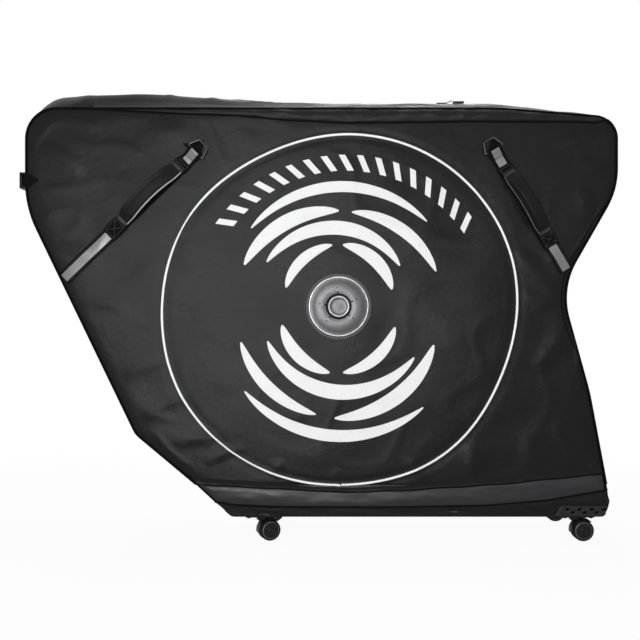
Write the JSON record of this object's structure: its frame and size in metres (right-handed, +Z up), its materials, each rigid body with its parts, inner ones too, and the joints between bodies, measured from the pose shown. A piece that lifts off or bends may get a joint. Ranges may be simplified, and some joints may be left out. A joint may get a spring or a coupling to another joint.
{
  "type": "soft bike travel bag",
  "caption": "Padded soft travel bag for a bicycle: two fold-open half shells on a stiff base with swivelling twin-wheel casters, inner rails and mounts.",
  "frame": {"origin": "on the floor under the casters, below the middle of the bag's overall length and depth", "axes": "+X along the length to the tail, -Y out of the near half (the pictured side), +Z up"},
  "size_m": [1.2182, 0.3444, 0.9255],
  "materials": {
    "oxford": "black woven fabric, padded",
    "gusset": "black woven fabric",
    "coated": "smooth coated fabric, slightly glossy",
    "lining": "grey lining",
    "webbing": "woven webbing",
    "padding": "padded wrap",
    "foam": "closed-cell foam",
    "hub_guard": "brushed and turned",
    "plastic": "moulded, fine grain",
    "board": "sheet",
    "wheel": "moulded",
    "rail": "extruded, satin",
    "steel": "zinc plated",
    "dark_steel": "black finish"
  },
  "bodies": {
    "base": {"base_floor": "board", "base_wall": "oxford", "base_band": "coated", "rear_guard": "plastic", "rail_near": "rail", "rail_far": "rail", "bb_pad": "foam", "caster_plate_front_near": "plastic", "caster_plate_front_far": "plastic", "caster_plate_rear_near": "plastic", "caster_plate_rear_far": "plastic"},
    "near_shell": {"near_side_panel": "oxford", "near_nose_gusset": "gusset", "near_top_gusset": "gusset", "near_tail_gusset": "gusset", "near_wheel_pocket": "lining", "near_hub_guard": "hub_guard", "near_front_strap": "webbing", "near_rear_strap": "webbing", "near_buckle_plug": "plastic"},
    "near_front_grip": {"near_front_grip": "padding"},
    "near_front_ring": {"near_front_ring": "dark_steel"},
    "near_rear_grip": {"near_rear_grip": "padding"},
    "near_rear_ring": {"near_rear_ring": "dark_steel"},
    "far_shell": {"far_side_panel": "oxford", "far_nose_gusset": "gusset", "far_top_gusset": "gusset", "far_tail_gusset": "gusset", "far_wheel_pocket": "lining", "far_hub_guard": "hub_guard", "far_front_strap": "webbing", "far_rear_strap": "webbing", "far_buckle_socket": "plastic"},
    "far_front_grip": {"far_front_grip": "padding"},
    "far_front_ring": {"far_front_ring": "dark_steel"},
    "far_rear_grip": {"far_rear_grip": "padding"},
    "far_rear_ring": {"far_rear_ring": "dark_steel"},
    "caster_front_near": {"caster_hood_front_near": "plastic", "caster_axle_front_near": "steel"},
    "wheel_outer_front_near": {"wheel_outer_front_near": "wheel"},
    "wheel_inner_front_near": {"wheel_inner_front_near": "wheel"},
    "caster_front_far": {"caster_hood_front_far": "plastic", "caster_axle_front_far": "steel"},
    "wheel_outer_front_far": {"wheel_outer_front_far": "wheel"},
    "wheel_inner_front_far": {"wheel_inner_front_far": "wheel"},
    "caster_rear_near": {"caster_hood_rear_near": "plastic", "caster_axle_rear_near": "steel"},
    "wheel_outer_rear_near": {"wheel_outer_rear_near": "wheel"},
    "wheel_inner_rear_near": {"wheel_inner_rear_near": "wheel"},
    "caster_rear_far": {"caster_hood_rear_far": "plastic", "caster_axle_rear_far": "steel"},
    "wheel_outer_rear_far": {"wheel_outer_rear_far": "wheel"},
    "wheel_inner_rear_far": {"wheel_inner_rear_far": "wheel"},
    "fork_carriage": {"fork_mount": "plastic", "fork_skewer": "steel"},
    "skewer_knob": {"skewer_knob": "plastic"},
    "stand_carriage": {"rear_stand": "plastic", "rear_skewer": "steel"},
    "zip_slider": {"zip_slider": "steel"},
    "zip_pull": {"zip_pull": "steel"}
  },
  "joints": [
    {"name": "near_shell_hinge", "type": "hinge", "parent": "base", "child": "near_shell", "pos_m": [0, -0.138, 0.1183], "axis": [1, 0, 0], "range_deg": [0, 90]},
    {"name": "near_front_grip_hinge", "type": "hinge", "parent": "near_shell", "child": "near_front_grip", "pos_m": [-0.39269, -0.14415, 0.64119], "axis": [0.7216, 0, 0.6923], "range_deg": [-30, 30]},
    {"name": "near_front_ring_hinge", "type": "hinge", "parent": "near_shell", "child": "near_front_ring", "pos_m": [-0.24501, -0.1402, 0.78289], "axis": [0.6923, 0, -0.7216], "range_deg": [0, 150]},
    {"name": "near_rear_grip_hinge", "type": "hinge", "parent": "near_shell", "child": "near_rear_grip", "pos_m": [0.45185, -0.14415, 0.61957], "axis": [-0.5191, 0, 0.8547], "range_deg": [-30, 30]},
    {"name": "near_rear_ring_hinge", "type": "hinge", "parent": "near_shell", "child": "near_rear_ring", "pos_m": [0.35045, -0.1402, 0.78651], "axis": [0.8547, 0, 0.5191], "range_deg": [0, 150]},
    {"name": "far_shell_hinge", "type": "hinge", "parent": "base", "child": "far_shell", "pos_m": [0, 0.138, 0.1183], "axis": [-1, 0, 0], "range_deg": [0, 90]},
    {"name": "far_front_grip_hinge", "type": "hinge", "parent": "far_shell", "child": "far_front_grip", "pos_m": [-0.39269, 0.14415, 0.64119], "axis": [0.7216, 0, 0.6923], "range_deg": [-30, 30]},
    {"name": "far_front_ring_hinge", "type": "hinge", "parent": "far_shell", "child": "far_front_ring", "pos_m": [-0.24501, 0.1402, 0.78289], "axis": [-0.6923, 0, 0.7216], "range_deg": [0, 150]},
    {"name": "far_rear_grip_hinge", "type": "hinge", "parent": "far_shell", "child": "far_rear_grip", "pos_m": [0.45185, 0.14415, 0.61957], "axis": [-0.5191, 0, 0.8547], "range_deg": [-30, 30]},
    {"name": "far_rear_ring_hinge", "type": "hinge", "parent": "far_shell", "child": "far_rear_ring", "pos_m": [0.35045, 0.1402, 0.78651], "axis": [-0.8547, 0, -0.5191], "range_deg": [0, 150]},
    {"name": "caster_front_near_swivel", "type": "hinge", "parent": "base", "child": "caster_front_near", "pos_m": [-0.11395, -0.105, 0.045], "axis": [0, 0, 1], "continuous": true},
    {"name": "wheel_outer_front_near_spin", "type": "hinge", "parent": "caster_front_near", "child": "wheel_outer_front_near", "pos_m": [-0.10079, -0.10021, 0.0215], "axis": [-0.342, 0.9397, 0], "continuous": true},
    {"name": "wheel_inner_front_near_spin", "type": "hinge", "parent": "caster_front_near", "child": "wheel_inner_front_near", "pos_m": [-0.10079, -0.10021, 0.0215], "axis": [-0.342, 0.9397, 0], "continuous": true},
    {"name": "caster_front_far_swivel", "type": "hinge", "parent": "base", "child": "caster_front_far", "pos_m": [-0.11395, 0.105, 0.045], "axis": [0, 0, 1], "continuous": true},
    {"name": "wheel_outer_front_far_spin", "type": "hinge", "parent": "caster_front_far", "child": "wheel_outer_front_far", "pos_m": [-0.09995, 0.105, 0.0215], "axis": [0, 1, 0], "continuous": true},
    {"name": "wheel_inner_front_far_spin", "type": "hinge", "parent": "caster_front_far", "child": "wheel_inner_front_far", "pos_m": [-0.09995, 0.105, 0.0215], "axis": [0, 1, 0], "continuous": true},
    {"name": "caster_rear_near_swivel", "type": "hinge", "parent": "base", "child": "caster_rear_near", "pos_m": [0.52172, -0.105, 0.045], "axis": [0, 0, 1], "continuous": true},
    {"name": "wheel_outer_rear_near_spin", "type": "hinge", "parent": "caster_rear_near", "child": "wheel_outer_rear_near", "pos_m": [0.53572, -0.105, 0.0215], "axis": [0, 1, 0], "continuous": true},
    {"name": "wheel_inner_rear_near_spin", "type": "hinge", "parent": "caster_rear_near", "child": "wheel_inner_rear_near", "pos_m": [0.53572, -0.105, 0.0215], "axis": [0, 1, 0], "continuous": true},
    {"name": "caster_rear_far_swivel", "type": "hinge", "parent": "base", "child": "caster_rear_far", "pos_m": [0.52172, 0.105, 0.045], "axis": [0, 0, 1], "continuous": true},
    {"name": "wheel_outer_rear_far_spin", "type": "hinge", "parent": "caster_rear_far", "child": "wheel_outer_rear_far", "pos_m": [0.53572, 0.105, 0.0215], "axis": [0, 1, 0], "continuous": true},
    {"name": "wheel_inner_rear_far_spin", "type": "hinge", "parent": "caster_rear_far", "child": "wheel_inner_rear_far", "pos_m": [0.53572, 0.105, 0.0215], "axis": [0, 1, 0], "continuous": true},
    {"name": "fork_mount_slide", "type": "slide", "parent": "base", "child": "fork_carriage", "axis": [1, 0, 0], "range_m": [-0.04, 0.06]},
    {"name": "skewer_knob_turn", "type": "hinge", "parent": "fork_carriage", "child": "skewer_knob", "pos_m": [-0.05986, 0, 0.205], "axis": [0, 1, 0], "continuous": true},
    {"name": "rear_stand_slide", "type": "slide", "parent": "base", "child": "stand_carriage", "axis": [1, 0, 0], "range_m": [-0.06, 0.06]},
    {"name": "zip_slide", "type": "slide", "parent": "near_shell", "child": "zip_slider", "axis": [1, 0, 0], "range_m": [-0.78, 0.02]},
    {"name": "zip_pull_hinge", "type": "hinge", "parent": "zip_slider", "child": "zip_pull", "pos_m": [0.28702, 0, 0.9245], "axis": [0, 1, 0], "range_deg": [0, 140]}
  ]
}
